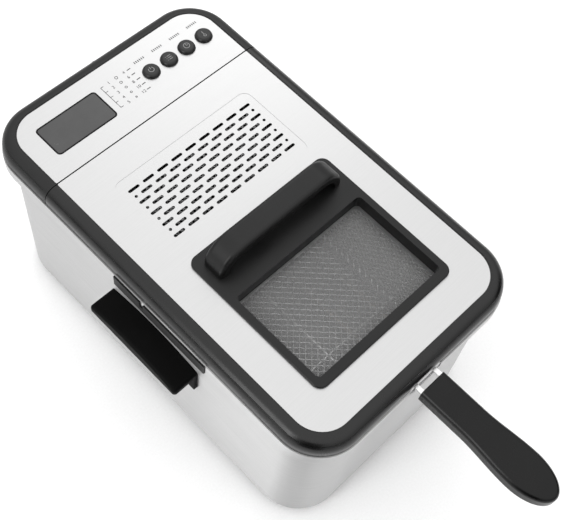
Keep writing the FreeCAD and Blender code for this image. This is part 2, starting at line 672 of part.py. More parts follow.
# ---- control unit ----
def control_housing():
    """Box that hangs in the rear compartment, with a flange that rests on the collar."""
    body = new_body("control_housing")
    half = housing_width / 2
    flange_low = collar_top + lift_gap
    flange_half = half_plate + 5
    low = collar_top - housing_depth
    box_outline = (-half, half, housing_front, housing_rear, 4, 4)
    flange = (-flange_half, flange_half, housing_front, plate_length + 5, 2, 30)
    inside = (housing_wall - half, half - housing_wall, housing_front + housing_wall,
              housing_rear - housing_wall, 3, 3)
    slab(body, "box", box_outline, low, flange_low)
    slab(body, "flange", flange, flange_low, flange_low + 2)
    cut(body, "inside", inside, low + housing_wall, flange_low + 2)


def control_cover():
    """Black surround of the control unit, hollow below, with openings for the display and the buttons."""
    body = new_body("control_cover")
    slab(body, "outside", ring_outline(rim_overhang, rim_corner, rim_corner), rim_bottom, rim_top)
    round_edges(body, "shoulder", rim_round, lambda edge: level(edge, rim_top))
    wide = half_plate + rim_overhang + 5
    cut(body, "lid_side", (-wide, wide, -wide, unit_front, 1, 1), rim_bottom, rim_top + 1)
    inner = half_plate + rim_overhang - rim_wall
    hollow = (-inner, inner, unit_front + rim_wall, plate_length + rim_overhang - rim_wall, 2,
              rim_corner - rim_wall)
    cut(body, "hollow", hollow, rim_bottom, rim_roof)
    seat = ring_outline(groove_width, plate_corner + groove_width, plate_corner + groove_width)
    cut(body, "plate_seat", seat, plate_under, rim_top + 1)
    display_opening(body, 1, rim_roof, plate_under + 1)
    drill(body, "button_holes", button_places, button_diameter / 2 + fit_gap, rim_roof, plate_under + 1)
    bridge_half = bridge_width / 2 + 1
    cut(body, "bridge_notch", (-bridge_half, bridge_half, unit_front - 1, housing_front + 1, 0.5, 0.5),
        rim_bottom - 1, bridge_top + 1)
    sketch = new_sketch(body, "gland_hole", "XZ_Plane", -(plate_length + rim_overhang + 1))
    draw_circle(sketch, 0, gland_height, gland_radius + 0.05)
    pocket(body, sketch, rim_wall * 2 + 1, reverse=True)


def display_opening(body, grow, low, high):
    half = display_width / 2 + grow
    depth = display_length / 2 + grow
    outline = (-display_offset - half, half - display_offset, panel_row - depth, panel_row + depth,
               display_corner + grow, display_corner + grow)
    cut(body, "display_opening", outline, low, high)


def control_plate():
    """Steel plate of the control unit."""
    body = new_body("control_plate")
    outline = (-half_plate, half_plate, unit_front + 0.2, plate_length, 1, plate_corner)
    slab(body, "plate", outline, plate_under, deck_height)
    display_opening(body, 0.3, plate_under, deck_height)
    drill(body, "button_holes", button_places, button_diameter / 2 + 0.3, plate_under, deck_height)


def display_window():
    """Tinted lens that fills the display opening, stepped so that it can't be pushed out."""
    body = new_body("display_window")
    half = display_width / 2
    depth = display_length / 2
    outline = (-display_offset - half, half - display_offset, panel_row - depth, panel_row + depth,
               display_corner, display_corner)
    slab(body, "lens", outline, rim_roof + 0.5, deck_height)


def display_parts():
    """Display panel under the lens, its circuit board, and a small switch below each button."""
    half = display_width / 2 - 2
    panel = box(-display_offset - half, half - display_offset, panel_row - 14, panel_row + 14,
                board_top, rim_roof)
    shape_node("display_panel", panel)
    board = box(-half_plate + 12, half_plate - 4, panel_row - 20, panel_row + 20,
                board_top - board_thickness, board_top)
    shape_node("display_board", board)
    switches = [box(x - 3, x + 3, y - 3, y + 3, board_top, switch_top) for x, y in button_places]
    shape_node("button_switches", Part.makeCompound(switches))


def button(label, place):
    """Domed key with a retaining flange below the cover and a stem that reaches down to its switch."""
    x, y = place
    body = new_body(label)
    sketch = new_sketch(body, "cap", "XY_Plane", rim_roof - button_travel)
    draw_circle(sketch, x, y, button_diameter / 2)
    pad(body, sketch, deck_height + button_rise - rim_roof + button_travel)
    crown = deck_height + button_rise
    round_edges(body, "crown", 2.6, lambda edge: level(edge, crown))
    flange = new_sketch(body, "flange", "XY_Plane", rim_roof - button_travel)
    draw_circle(flange, x, y, button_diameter / 2 + (button_pitch - button_diameter) / 4)
    pad(body, flange, button_travel - 0.1)
    stem = new_sketch(body, "stem", "XY_Plane", switch_top + button_travel + 0.1)
    draw_circle(stem, x, y, 2)
    pad(body, stem, rim_roof - button_travel - switch_top - button_travel - 0.1)


def power_parts():
    """Power board with relay and transformer, safety cut-out and terminal block, inside the housing."""
    front = housing_front + housing_wall + 8
    board_half = housing_width / 2 - 14
    low = collar_top - housing_depth + housing_wall + 6
    board = box(-board_half, board_half, front, front + board_thickness, low, low + 80)
    shape_node("power_board", board)
    relay_front = front + board_thickness
    shape_node("relay", box(-40, -11, relay_front, relay_front + 16, low + 40, low + 65))
    shape_node("transformer", box(20, 58, relay_front, relay_front + 30, low + 12, low + 44))
    cutout = Part.makeCylinder(8, 6, Vector(-60, number(housing_front + housing_wall),
                                            number(low + 96)), Vector(0, 1, 0))
    shape_node("safety_cutout", cutout)
    block_rear = housing_rear - housing_wall
    shape_node("terminal_block", box(-20, 20, block_rear - 14, block_rear, low + 60, low + 76))


def element_bracket():
    """Steel bridge from the housing over the pot's rim, with a plate down the pot's rear wall."""
    body = new_body("element_bracket")
    half = bridge_width / 2
    slab(body, "bridge", (-half, half, bridge_front, housing_front, 1, 1), bridge_bottom, bridge_top)
    plate_front_face = pot_rear - pot_gauge - 5
    slab(body, "plate", (-half, half, plate_front_face, plate_front_face + 1.5, 0.4, 0.4),
         pot_floor + 30, bridge_bottom)


def heating_element():
    """Tube that drops from the bridge, runs along the pot's floor and turns back in two hairpins."""
    outer, inner = element_outer, element_inner
    leg = bridge_front + element_tube + 0.6
    low = pot_floor + pot_gauge + element_rise
    near = basket_front + 20
    far = leg - 32
    points = [(-outer, leg, bridge_bottom), (-outer, leg, low), (-outer, near, low), (-inner, near, low),
              (-inner, far, low), (inner, far, low), (inner, near, low), (outer, near, low),
              (outer, leg, low),
              (outer, leg, bridge_bottom)]
    shape_node("heating_element", bent_rod(points, 12, element_tube))


def thermostat_sensor():
    """Sensor tube on the element bracket, with a closed round end in the oil."""
    leg = bridge_front + element_tube + 0.6
    sensor = rod((0, leg, bridge_bottom), (0, leg, pot_floor + 45), 3)
    tip = Part.makeSphere(3, Vector(0, number(leg), number(pot_floor + 45)))
    shape_node("thermostat_sensor", sensor.fuse(tip).removeSplitter())


def cord_gland():
    """Bush for the mains lead in the cover's rear wall, with a collar inside."""
    rear = number(plate_length + rim_overhang)
    z = gland_height.value
    start = rear - rim_wall.value - 5
    body = Part.makeCylinder(gland_radius.value, rear + gland_reach.value - start, Vector(0, start, z),
                             Vector(0, 1, 0))
    collar = Part.makeCylinder(gland_radius.value + 0.4, 3, Vector(0, rear - rim_wall.value - 3.1, z),
                               Vector(0, 1, 0))
    bore = Part.makeCylinder(gland_bore.value, 80, Vector(0, start - 10, z), Vector(0, 1, 0))
    shape_node("cord_gland", body.fuse(collar).cut(bore).removeSplitter())


# ---- lid ----
def lid_frame():
    """Black frame of the lid: a convex rim on three sides, a ledge for the plate and six screw bosses."""
    body = new_body("lid_frame")
    slab(body, "outside", ring_outline(rim_overhang, rim_corner, rim_corner), rim_bottom, rim_top)
    round_edges(body, "shoulder", rim_round, lambda edge: level(edge, rim_top))
    wide = half_plate + rim_overhang + 5
    cut(body, "unit_side", (-wide, wide, lid_rear, plate_length + wide, 1, 1), rim_bottom, rim_top + 1)
    inner = half_plate + rim_overhang - rim_wall
    hollow = (-inner, inner, rim_wall - rim_overhang, lid_rear - rim_wall, rim_corner - rim_wall, 2)
    cut(body, "hollow", hollow, rim_bottom, rim_roof)
    ledge_half = half_plate - rim_ledge
    middle = (-ledge_half, ledge_half, rim_ledge, lid_rear - rim_ledge, plate_corner - rim_ledge, 4)
    cut(body, "middle", middle, rim_roof, rim_top + 1)
    seat = ring_outline(groove_width, plate_corner + groove_width, plate_corner + groove_width)
    cut(body, "plate_seat", seat, plate_under, rim_top + 1)
    bridge_half = bridge_width / 2 + 1
    cut(body, "bridge_notch", (-bridge_half, bridge_half, lid_rear - rim_wall - 1, lid_rear + 1, 0.5, 0.5),
        rim_bottom, bridge_top + 1)
    notch_half = wire_notch / 2
    cut(body, "wire_notch", (-notch_half, notch_half, -(rim_overhang + 2), -2, 0.5, 0.5), rim_bottom,
        rim_bottom + 5)
    sketch = new_sketch(body, "bosses", "XY_Plane", liner_top)
    for x, y in lid_screw_places:
        draw_circle(sketch, x, y, 4.5)
    pad(body, sketch, rim_roof - liner_top)
    drill(body, "boss_holes", lid_screw_places, lid_screw_radius + 0.1, liner_top, liner_top + 8)


def lid_plate():
    """Steel top plate with the window opening, the pressed vent panel and its staggered vent slots."""
    body = new_body("lid_plate")
    slab(body, "plate", (-half_plate, half_plate, 0, lid_rear - 0.2, plate_corner, 1), plate_under,
         deck_height)
    half = window_width / 2 + throat_wall + fit_gap
    opening = (-half, half, window_front - throat_wall - fit_gap,
               window_front + window_length + throat_wall + fit_gap,
               window_corner + throat_wall, window_corner + throat_wall)
    cut(body, "window_opening", opening, plate_under, deck_height)
    panel_half = vent_pitch * 4 + vent_panel_margin
    panel = (-panel_half, panel_half, vent_front - vent_panel_margin,
             vent_front + vent_row_pitch * 8 + vent_panel_margin,
             8, 8)
    cut(body, "vent_panel", panel, deck_height - vent_panel_depth, deck_height)
    y_slot = (vent_front - vent_width / 2, vent_front + vent_width / 2)
    first = -(vent_pitch * 4)
    grid_cut(body, "long_rows", slot_outline(first, *y_slot), 9, vent_pitch, 5, vent_row_pitch * 2)
    y_next = (y_slot[0] + vent_row_pitch, y_slot[1] + vent_row_pitch)
    first = -(vent_pitch * 3.5)
    grid_cut(body, "short_rows", slot_outline(first, *y_next), 8, vent_pitch, 4, vent_row_pitch * 2)
    sketch = new_sketch(body, "round_vents", "XY_Plane", deck_height)
    for row in range(1, vent_rows, 2):
        for side in (-1, 1):
            draw_circle(sketch, vent_pitch * (side * 4.22), vent_front + vent_row_pitch * row,
                        vent_width / 2)
    pocket(body, sketch, plate_gauge)
    drill(body, "handle_screw_holes", lid_handle_screws_at, lid_screw_radius + 0.3, plate_under,
          deck_height)


def slot_outline(middle, low, high):
    """A slot with round ends, centred on this place across the lid."""
    end = vent_width / 2 - 0.01
    return (middle - vent_length / 2, middle + vent_length / 2, low, high, end, end)


def grid_cut(body, name, outline, columns, pitch, rows, row_pitch):
    """Cut one slot through the plate and repeat it across and along."""
    sketch = new_sketch(body, name, "XY_Plane", deck_height)
    draw_rectangle(sketch, *outline)
    slot = pocket(body, sketch, plate_gauge)
    doc.recompute()
    grid = body.newObject("PartDesign::MultiTransform", f"{body.Name}_{name}_grid")
    grid.Originals = [slot]
    steps = []
    for axis, count, step in (("H_Axis", columns, pitch), ("V_Axis", rows, row_pitch)):
        pattern = body.newObject("PartDesign::LinearPattern", f"{body.Name}_{name}_{axis}")
        pattern.Direction = (sketch, [axis])
        pattern.Occurrences = count
        bind(pattern, "Length", step * (count - 1))
        steps.append(pattern)
    grid.Transformations = steps
    body.Tip = grid


def window_bezel():
    """Plastic surround of the window: a flange on the plate and a throat that goes down to the glass."""
    body = new_body("window_bezel")
    half = bezel_width / 2
    flange = (-half, half, bezel_front, bezel_front + bezel_length, bezel_corner, bezel_corner)
    slab(body, "flange", flange, deck_height, bezel_top)
    round_edges(body, "edge", 1.2, lambda edge: level(edge, bezel_top))
    throat_half = window_width / 2 + throat_wall
    throat = (-throat_half, throat_half, window_front - throat_wall,
              window_front + window_length + throat_wall,
              window_corner + throat_wall - 0.4, window_corner + throat_wall - 0.4)
    slab(body, "throat", throat, throat_bottom, deck_height)
    clear_half = window_width / 2
    clear = (-clear_half, clear_half, window_front, window_front + window_length, window_corner,
             window_corner)
    cut(body, "window", clear, throat_bottom, bezel_top)
    drill(body, "handle_screw_holes", lid_handle_screws_at, lid_screw_radius + 0.1, deck_height, bezel_top)


def lid_handle():
    """Arched bar across the lid, standing straight on the bezel at each end."""
    body = new_body("lid_handle")
    half = lid_handle_span / 2
    rear = lid_handle_from_front + lid_handle_width / 2
    top = deck_height + lid_handle_rise
    outer = new_sketch(body, "arch", "XZ_Plane", -rear)
    buried = bezel_top - lid_handle_bend - 1
    draw_rectangle(outer, -half, half, buried, top, lid_handle_bend, lid_handle_bend)
    pad(body, outer, lid_handle_width)
    round_edges(body, "long_edges", lid_handle_round, lambda edge: edge.BoundBox.YLength < 1e-3)
    below = (-half - 1, half + 1, lid_handle_from_front - lid_handle_width, rear + 5, 1, 1)
    cut(body, "below_bezel", below, buried - 1, bezel_top)
    inner_half = half - lid_handle_bar
    inner = new_sketch(body, "finger_gap", "XZ_Plane", -(rear + 5))
    draw_rectangle(inner, -inner_half, inner_half, bezel_top - 1, top - lid_handle_bar, 0.5,
                   lid_handle_bend - lid_handle_bar)
    pocket(body, inner, lid_handle_width + 10, reverse=True)
    drill(body, "screw_holes", lid_handle_screws_at, lid_screw_radius + 0.1, bezel_top, bezel_top + 9)


def window_glass():
    body = new_body("window_glass")
    slab(body, "pane", glass_outline(0), glass_top - glass_thickness, glass_top)


def glass_outline(shrink):
    half = window_width / 2 + glass_lap - shrink
    radius = window_corner + glass_lap - shrink
    return (-half, half, window_front - glass_lap + shrink,
            window_front + window_length + glass_lap - shrink,
            radius, radius)


def window_gasket():
    """Flat silicone ring between the glass and the bezel's throat."""
    body = new_body("window_gasket")
    slab(body, "ring", glass_outline(0), glass_top, throat_bottom)
    cut(body, "opening", glass_outline(glass_lap), glass_top, throat_bottom)


def lid_liner():
    """Pressed steel liner under the lid: it carries the glass and the grease filter."""
    body = new_body("lid_liner")
    half = half_plate + 6.5
    outline = (-half, half, -7, liner_rear, plate_corner + 6.5, 4)
    slab(body, "sheet", outline, liner_bottom, liner_top)
    cut(body, "window", glass_outline(glass_lap + 1), liner_bottom, liner_top)
    air_half = vent_pitch * 4 + 4
    air = (-air_half, air_half, vent_front - 4, vent_front + vent_row_pitch * 8 + 2, 3, 3)
    cut(body, "filter_opening", air, liner_bottom, liner_top)
    drill(body, "screw_holes", lid_screw_places, lid_screw_radius + 0.1, liner_bottom, liner_top)


def filter_parts():
    """Punched grille over the liner's opening, and the layered wire-mesh grease filter on top of it."""
    half = vent_pitch * 4 + 7
    front, rear = vent_front - 8, vent_front + vent_row_pitch * 8 + 5
    grille = box(-half, half, front, rear, liner_top, liner_top + 1)
    steps = 12
    span = 2 * number(half)
    holes = [Part.makeCylinder(3.2, 5, Vector(-span / 2 + span * (n + 0.5) / steps,
                                              number(front) + 9.4 * (m + 0.72),
                                             number(liner_top) - 2)) for n in range(steps) for m in range(7)]
    shape_node("filter_grille", grille.cut(Part.makeCompound(holes)))
    mesh = box(-half, half, front, rear, liner_top + 1, liner_top + 1 + filter_thickness)
    shape_node("grease_filter", mesh)


def lid_fasteners():
    lid = [screw((x, y, liner_bottom), (0, 0, 1), 3, 0.9, lid_screw_radius, 7) for x, y in lid_screw_places]
    shape_node("lid_screws", Part.makeCompound(lid))
    length = plate_gauge.value + bezel_rise.value + 8
    handle = [screw((x, y, plate_under), (0, 0, 1), 3.5, 2, lid_screw_radius, length) for x,
              y in lid_handle_screws_at]
    shape_node("lid_handle_screws", Part.makeCompound(handle))


# ---- basket ----
def basket_mesh():
    """Woven wire basket, as a thin wall with the basket's true outline, open on top."""
    body = new_body("basket_mesh")
    outside = (-basket_half, basket_half, basket_front, basket_rear, basket_corner, basket_corner)
    slab(body, "outside", outside, basket_floor, basket_rim)
    round_edges(body, "floor_bend", basket_floor_bend, lambda edge: level(edge, basket_floor))
    hollow_out(body, mesh_thickness, basket_rim)


def basket_frame():
    """Hoop of thick wire round the mesh's upper edge, with three welded ribs under the mesh."""
    out = rim_wire + 0.1
    hoop = wire_ring(-basket_half - out, basket_half + out, basket_front - out, basket_rear + out,
                     basket_rim - rim_wire,
                     basket_corner + out, rim_wire)
    side = basket_half + out
    low = basket_floor - rib_wire - 0.2
    frame = hoop
    for y in (basket_front + 55, basket_rear - 55):
        points = [(-side, y, basket_rim - rim_wire), (-side, y, low), (side, y, low),
                  (side, y, basket_rim - rim_wire)]
        frame = frame.fuse(bent_rod(points, 7, rib_wire))
    points = [(0, basket_front - out, basket_rim - rim_wire), (0, basket_front - out, low - 1.2),
              (0, basket_rear + out, low - 1.2), (0, basket_rear + out, basket_rim - rim_wire)]
    shape_node("basket_frame", frame.fuse(bent_rod(points, 7, rib_wire)))


def handle_bracket():
    """Steel plate on the front of the basket that the handle's wires are welded to."""
    body = new_body("handle_bracket")
    half = wire_pitch / 2 + wire_width / 2 + 1.5
    rear = basket_front - rim_wire * 2 - 0.2
    front = rear - bracket_gauge
    low = basket_rim - rim_wire * 2 - 12
    slab(body, "plate", (-half, half, front, rear, 0.5, 0.5), low, wire_height_mid + wire_height / 2)


def handle_wires():
    """Two flat steel wires from the bracket into the grip."""
    wire_front = -(grip_root + 45)
    bracket_front = basket_front - rim_wire * 2 - 0.2 - bracket_gauge
    wires = []
    for side in (-1, 1):
        x = number(wire_pitch) / 2 * side
        half = wire_width.value / 2
        low = wire_height_mid - wire_height / 2
        wires.append(box(x - half, x + half, wire_front, bracket_front, low, low + wire_height))
    shape_node("handle_wires", Part.makeCompound(wires))


def grip_face():
    """The grip's outline: straight from the root to the waist, a swelling paddle and a round tip."""
    root = -grip_root.value
    tip = -grip_reach.value
    narrow = grip_root_width.value / 2
    broad = grip_paddle_width.value / 2
    waist = root - 0.33 * (root - tip)
    widest = root - 0.74 * (root - tip)
    swell = Part.BSplineCurve()
    swell.interpolate(Points=[Vector(narrow, waist, 0), Vector(broad, widest, 0)],
                      Tangents=[Vector(0, -1, 0), Vector(0, -1, 0)], TangentFlags=[True, True])
    round_end = Part.Ellipse(Vector(0, tip, 0), Vector(broad, widest, 0), Vector(0, widest, 0))
    straight = Part.LineSegment(Vector(narrow, root, 0), Vector(narrow, waist, 0)).toShape()
    mirror = (Vector(0, 0, 0), Vector(1, 0, 0))
    swell = swell.toShape()
    nose = Part.ArcOfEllipse(round_end, -math.pi / 2, math.pi / 2).toShape()
    back = Part.LineSegment(Vector(-narrow, root, 0), Vector(narrow, root, 0)).toShape()
    edges = [back, straight, swell, nose, swell.mirror(*mirror), straight.mirror(*mirror)]
    return Part.Face(Part.Wire(Part.__sortEdges__(edges)))


def grip_half(label, low, high, rounded):
    """One half of the grip with its long edge rounded and channels for the wires."""
    shape = grip_face().translated(Vector(0, 0,
                                          number(low))).extrude(Vector(0, 0, number(high) - number(low)))
    edges = [edge for edge in shape.Edges if level(edge,
                                                   rounded) and edge.BoundBox.YMin < -grip_root.value - 1]
    shape = shape.makeFillet(grip_round.value, edges)
    for side in (-1, 1):
        x = number(wire_pitch) / 2 * side
        half = wire_width.value / 2 + 0.05
        shape = shape.cut(box(x - half, x + half, -(grip_root.value + 45.1), 0,
                              wire_height_mid - wire_height / 2 - 0.05,
                              wire_height_mid + wire_height / 2 + 0.05))
    hole = Part.makeCylinder(1.6, 12, Vector(0, -grip_screw_from_front, number(grip_mid) - 5))
    head = Part.makeCylinder(3.4, 20, Vector(0, -grip_screw_from_front, number(grip_mid) - 25))
    shape_node(label, shape.cut(hole).cut(head))


def grip_screw():
    place = (0, -grip_screw_from_front, number(grip_mid) - 5)
    shape_node("grip_screw", screw(place, (0, 0, 1), 3, 1.8, 1.5, 11))


# ---- shared places ----
collar_corner = plate_corner + collar_overhang
rim_corner = plate_corner + rim_overhang
notch_floor = deck_height - wire_drop - wire_height / 2 - 1.6
switch_top = board_top + switch_height
base_screw_radius = 1.9
foot_head_radius = 3.6
foot_recess = 3.2
lid_screw_radius = 1.5
bracket_gauge = 1.8
grip_screw_from_front = 85
base_across = half_wall - 9
base_screw_places = mirrored_places(base_across, (plate_length * 0.35, plate_length * 0.65))
foot_across = half_wall - foot_inset
foot_places = mirrored_places(foot_across, (foot_inset - wall_overhang,
                                            plate_length + wall_overhang - foot_inset))
button_places = [(button_first + button_pitch * n, panel_row) for n in range(4)]
lid_handle_screws_at = mirrored_places(lid_handle_span / 2 - 7.5, (lid_handle_from_front,))
lid_screw_places = mirrored_places(half_plate + 1, (34, 150, 262))

body_shell()
rim_collar()
base_plate()
rubber_feet()
foot_screws()
base_screws()
grips()
collar_insert("collar_insert_left", -1)
collar_insert("collar_insert_right", 1)
oil_pot()
control_housing()
control_cover()
control_plate()
display_window()
display_parts()
for label, place in zip(("button_power", "button_mode", "button_time", "button_temperature"),
                        button_places):
    button(label, place)
power_parts()
element_bracket()
heating_element()
thermostat_sensor()
cord_gland()
lid_frame()
lid_plate()
window_bezel()
lid_handle()
window_glass()
window_gasket()
lid_liner()
filter_parts()
lid_fasteners()
basket_mesh()
basket_frame()
handle_bracket()
handle_wires()
grip_half("grip_lower", grip_mid - grip_thickness / 2, grip_mid, grip_mid - grip_thickness / 2)
grip_half("grip_upper", grip_mid, grip_mid + grip_thickness / 2, grip_mid + grip_thickness / 2)
grip_screw()

doc.recompute()
os.makedirs("parts", exist_ok=True)
for item in doc.Objects:
    if "Invalid" in item.State or "Error" in item.State:
        raise RuntimeError(f"{item.Name} did not build: {item.State}")
nodes = [item for item in doc.Objects if item.TypeId == "PartDesign::Body"
         or (item.TypeId == "Part::Feature" and not item.getParentGeoFeatureGroup())]
for node in nodes:
    if node.Shape.isNull() or not node.Shape.isValid():
        raise RuntimeError(f"{node.Label} has no valid shape")
for node in nodes:
    node.Shape.exportStep(f"parts/{node.Label}.step")
    box_mm = node.Shape.BoundBox
    print(f"{node.Label:22s} solids {len(node.Shape.Solids)} volume {node.Shape.Volume:10.0f} "
          f"x {box_mm.XMin:7.1f} {box_mm.XMax:7.1f} y {box_mm.YMin:7.1f} {box_mm.YMax:7.1f} "
          f"z {box_mm.ZMin:6.1f} {box_mm.ZMax:6.1f}")
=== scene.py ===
import math

import bpy
import numpy as np
from mathutils import Matrix, Vector


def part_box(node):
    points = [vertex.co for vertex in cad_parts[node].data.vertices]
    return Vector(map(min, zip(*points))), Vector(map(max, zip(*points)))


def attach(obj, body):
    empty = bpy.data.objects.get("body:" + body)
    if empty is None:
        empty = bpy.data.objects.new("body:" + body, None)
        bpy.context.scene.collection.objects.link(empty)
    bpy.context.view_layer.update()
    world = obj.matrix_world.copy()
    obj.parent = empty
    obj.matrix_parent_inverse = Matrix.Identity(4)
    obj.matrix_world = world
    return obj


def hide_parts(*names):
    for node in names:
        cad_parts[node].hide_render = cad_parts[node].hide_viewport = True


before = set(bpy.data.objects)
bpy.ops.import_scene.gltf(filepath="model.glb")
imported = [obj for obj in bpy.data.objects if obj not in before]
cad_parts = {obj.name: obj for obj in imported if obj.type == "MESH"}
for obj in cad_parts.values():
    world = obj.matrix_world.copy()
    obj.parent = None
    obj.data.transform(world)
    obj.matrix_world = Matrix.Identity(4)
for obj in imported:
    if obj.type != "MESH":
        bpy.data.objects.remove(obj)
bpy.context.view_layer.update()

# ---- Camera ----
# A 66 mm lens on a 36 mm sensor, above the fryer's front left corner, a little rolled.  Its place is counted
# from the middle of the lid plate's front edge, so it moves with that edge if the fryer's sizes change.
plate_low, plate_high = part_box("lid_plate")
MM = 0.001
plate_front = plate_low.y
deck = plate_high.z


def on_deck(x, y, z=0.0):
    """Point x right of the centre line, y behind the plate's front edge and z above the plate, all in mm."""
    return Vector((x * MM, plate_front + y * MM, deck + z * MM))


eye = on_deck(-347.77, -115.16, 747.71)
line_of_sight = Vector((0.38882, 0.28531, -0.87602))
roll = math.radians(10.30)
camera_data = bpy.data.cameras.new("camera")
camera_data.lens = 66.39
camera_data.sensor_width = 36.0
camera = bpy.data.objects.new("camera", camera_data)
look = line_of_sight.to_track_quat("-Z", "Y").to_matrix().to_4x4()
camera.matrix_world = Matrix.Translation(eye) @ look @ Matrix.Rotation(roll, 4, "Z")
bpy.context.collection.objects.link(camera)
bpy.context.scene.camera = camera


# ---- Studio ----
# A sheet of matt white paper under a white sky that is brighter overhead than at the horizon, with a soft
# lamp behind the fryer, another to its left, and two black cards that only reflections and shadows show.
NOISE_SPAN = (0.3, 0.7)  # most of a noise texture's values lie between these
FLOOR_HALF = 4           # metres
SKY_HEIGHTS = (0.15, 0.85)
SKY_STRENGTHS = (0.55, 1.45)


def linear(colour):
    """sRGB hex to linear: c / 12.92 up to 0.04045, else (c + 0.055) / 1.055 to the power 2.4."""
    parts = [int(colour[n:n + 2], 16) / 255 for n in (1, 3, 5)]
    return tuple(c / 12.92 if c <= 0.04045 else ((c + 0.055) / 1.055) ** 2.4 for c in parts) + (1.0,)


def add(material, kind, inputs=(), **settings):
    """Add one node with its settings; an input is a value or another node's output socket."""
    made = material.node_tree.nodes.new(kind)
    for name, value in settings.items():
        setattr(made, name, value)
    for name, value in dict(inputs).items():
        if isinstance(value, bpy.types.NodeSocket):
            material.node_tree.links.new(value, made.inputs[name])
        else:
            made.inputs[name].default_value = value
    return made


def finish_of(name, **inputs):
    """A material and its principled shader, with each input named with _ for a space."""
    material = bpy.data.materials.new(name)
    material.use_nodes = True
    shader = material.node_tree.nodes["Principled BSDF"]
    for key, value in inputs.items():
        shader.inputs[key.replace("_", " ")].default_value = value
    return material, shader


def vary(material, shader, socket, source, low, high):
    """Let a pattern move one of the shader's numbers between low and high, in a straight line."""
    span = add(material, "ShaderNodeMapRange", {"Value": source, "From Min": NOISE_SPAN[0],
                                                "From Max": NOISE_SPAN[1], "To Min": low, "To Max": high})
    material.node_tree.links.new(span.outputs["Result"], shader.inputs[socket])


def tint(material, shader, source, dark, light, at=NOISE_SPAN):
    """Let a pattern move the base colour between two hex colours, in a straight line over the span at."""
    span = add(material, "ShaderNodeMapRange", {"Value": source, "From Min": at[0], "From Max": at[1]})
    mix = add(material, "ShaderNodeMix", {"Factor": span.outputs["Result"]}, data_type="RGBA")
    mix.inputs[6].default_value = linear(dark)
    mix.inputs[7].default_value = linear(light)
    material.node_tree.links.new(mix.outputs[2], shader.inputs["Base Color"])


def relief(material, shader, source, strength, depth_mm):
    """Let a pattern raise and lower the surface by depth_mm."""
    bump = add(material, "ShaderNodeBump",
               {"Height": source, "Strength": strength, "Distance": depth_mm * MM})
    material.node_tree.links.new(bump.outputs["Normal"], shader.inputs["Normal"])


def noise(material, size_mm, detail=2.0, stretch=(1, 1, 1)):
    """Noise whose grains are size_mm across, stretched by the given factor along each axis."""
    place = add(material, "ShaderNodeTexCoord")
    per_metre = [1000 / (size_mm * s) for s in stretch]
    scaled = add(material, "ShaderNodeMapping", {"Vector": place.outputs["Object"], "Scale": per_metre})
    made = add(material, "ShaderNodeTexNoise",
               {"Vector": scaled.outputs["Vector"], "Scale": 1.0, "Detail": detail, "Roughness": 0.6})
    return made.outputs["Fac"]


def mesh_piece(name, points, faces, smooth=True):
    """An object at the origin with this mesh, its place in its points."""
    mesh = bpy.data.meshes.new(name)
    mesh.from_pydata(np.asarray(points, float).tolist(), [], faces)
    mesh.polygons.foreach_set("use_smooth", np.full(len(mesh.polygons), smooth))
    mesh.update()
    piece = bpy.data.objects.new(name, mesh)
    bpy.context.collection.objects.link(piece)
    return piece


floor_corners = [(x * FLOOR_HALF, y * FLOOR_HALF, 0) for x, y in ((-1, -1), (1, -1), (1, 1), (-1, 1))]
floor = mesh_piece("studio_floor", floor_corners, [(0, 1, 2, 3)])
paper, paper_shader = finish_of("matt_white_paper", Roughness=0.9)
tint(paper, paper_shader, noise(paper, 2.0), "#fafafa", "#ffffff")
floor.data.materials.append(paper)

world = bpy.data.worlds.new("studio_surround")
bpy.context.scene.world = world
world.use_nodes = True
sky = world.node_tree.nodes["Background"]
sky.inputs["Color"].default_value = (1, 1, 1, 1)
sky_place = add(world, "ShaderNodeTexCoord")
height = add(world, "ShaderNodeSeparateXYZ", {"Vector": sky_place.outputs["Generated"]})
rise = add(world, "ShaderNodeMapRange", {"Value": height.outputs["Z"],
                                         "From Min": SKY_HEIGHTS[0], "From Max": SKY_HEIGHTS[1],
                                         "To Min": SKY_STRENGTHS[0], "To Max": SKY_STRENGTHS[1]},
           interpolation_type="SMOOTHSTEP")
world.node_tree.links.new(rise.outputs["Result"], sky.inputs["Strength"])
bpy.context.scene.view_settings.view_transform = "Standard"


def soft_lamp(name, place, size, power):
    """A rectangular lamp of this size in metres, turned to face the fryer's middle."""
    data = bpy.data.lights.new(name, "AREA")
    data.shape = "RECTANGLE"
    data.size, data.size_y = size
    data.energy = power
    lamp = bpy.data.objects.new(name, data)
    lamp.location = place
    lamp.rotation_euler = (Vector((0, 0, 0.1)) - Vector(place)).to_track_quat("-Z", "Y").to_euler()
    bpy.context.collection.objects.link(lamp)


soft_lamp("rear_softbox", (1.0, 1.1, 1.3), (0.8, 0.8), 2.5)
soft_lamp("left_softbox", (-1.3, 0.1, 0.9), (0.45, 0.9), 6)


def black_card(name, bearing, distance, width, height):
    """Upright black card that faces the fryer from a bearing in degrees, for the bent steel to reflect but
    not for the camera to see: two points go half the width to each side of its foot, two more above them."""
    turn = math.radians(bearing)
    foot = np.array([math.cos(turn), math.sin(turn), 0.0]) * distance
    side = np.array([-math.sin(turn), math.cos(turn), 0.0]) * width / 2
    up = np.array([0.0, 0.0, height])
    card = mesh_piece(name, [foot - side, foot + side, foot + side + up, foot - side + up], [(3, 2, 1, 0)])
    card.data.materials.append(card_black)
    card.visible_camera = False


card_black, card_shader = finish_of("matt_black_card", Roughness=0.95)
tint(card_black, card_shader, noise(card_black, 3.0), "#040404", "#080808")
black_card("corner_card", -144, 1.1, 0.7, 1.1)
black_card("front_card", -35, 1.4, 0.8, 0.7)


